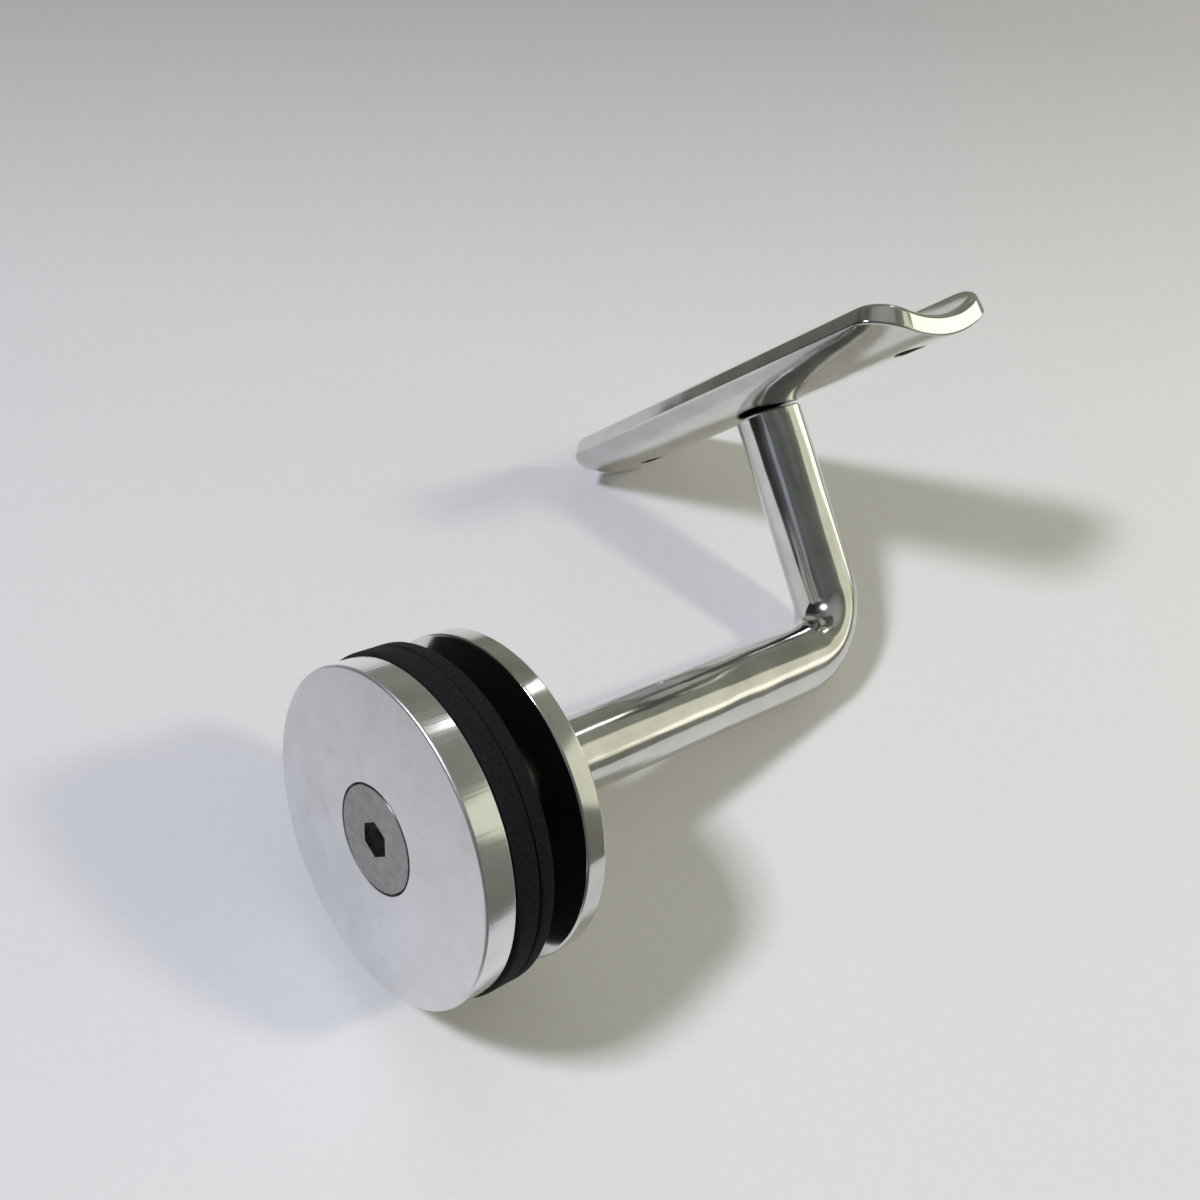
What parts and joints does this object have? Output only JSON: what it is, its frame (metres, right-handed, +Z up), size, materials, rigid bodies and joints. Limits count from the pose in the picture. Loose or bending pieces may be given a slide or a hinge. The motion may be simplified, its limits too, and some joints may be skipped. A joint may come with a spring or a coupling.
{
  "type": "glass-mounted handrail bracket",
  "caption": "Handrail bracket for a glass panel: disc clamp with rubber gaskets, bent round-bar arm and a curved saddle plate that swivels under a tubular rail.",
  "frame": {"origin": "on the axis of the glass hole, on the front face of the rear disc, where the glass is gripped", "axes": "+X out of the glass along the arm, +Z up the riser towards the rail, +Y along the rail"},
  "size_m": [0.1223, 0.085, 0.0801],
  "materials": {
    "turned_steel": "fine turned face, polished rim",
    "polished_steel": "mirror polished",
    "screw_steel": "bright cold-formed",
    "gasket_rubber": "matte",
    "bush_nylon": "natural nylon, satin"
  },
  "bodies": {
    "bracket": {"arm": "polished_steel", "rear_disc": "polished_steel", "glass_bush": "bush_nylon", "saddle_screw": "screw_steel"},
    "front_clamp": {"front_cap": "turned_steel", "front_gasket": "gasket_rubber", "rear_gasket": "gasket_rubber"},
    "screw": {"clamp_screw": "screw_steel"},
    "rail_saddle": {"saddle": "polished_steel"}
  },
  "joints": [
    {"name": "clamp_slide", "type": "slide", "parent": "bracket", "child": "front_clamp", "axis": [-1, 0, 0], "range_m": [0, 0.008]},
    {"name": "screw_turn", "type": "hinge", "parent": "front_clamp", "child": "screw", "pos_m": [-0.017, 0, 0], "axis": [-1, 0, 0], "range_deg": [0, 2304]},
    {"name": "saddle_swivel", "type": "hinge", "parent": "bracket", "child": "rail_saddle", "pos_m": [0.0885, 0, 0.0464], "axis": [0, 0, 1], "continuous": true}
  ],
  "couplings": [
    {"joint": "screw_turn", "follows": "clamp_slide", "rad_per_m": 5026.5}
  ]
}
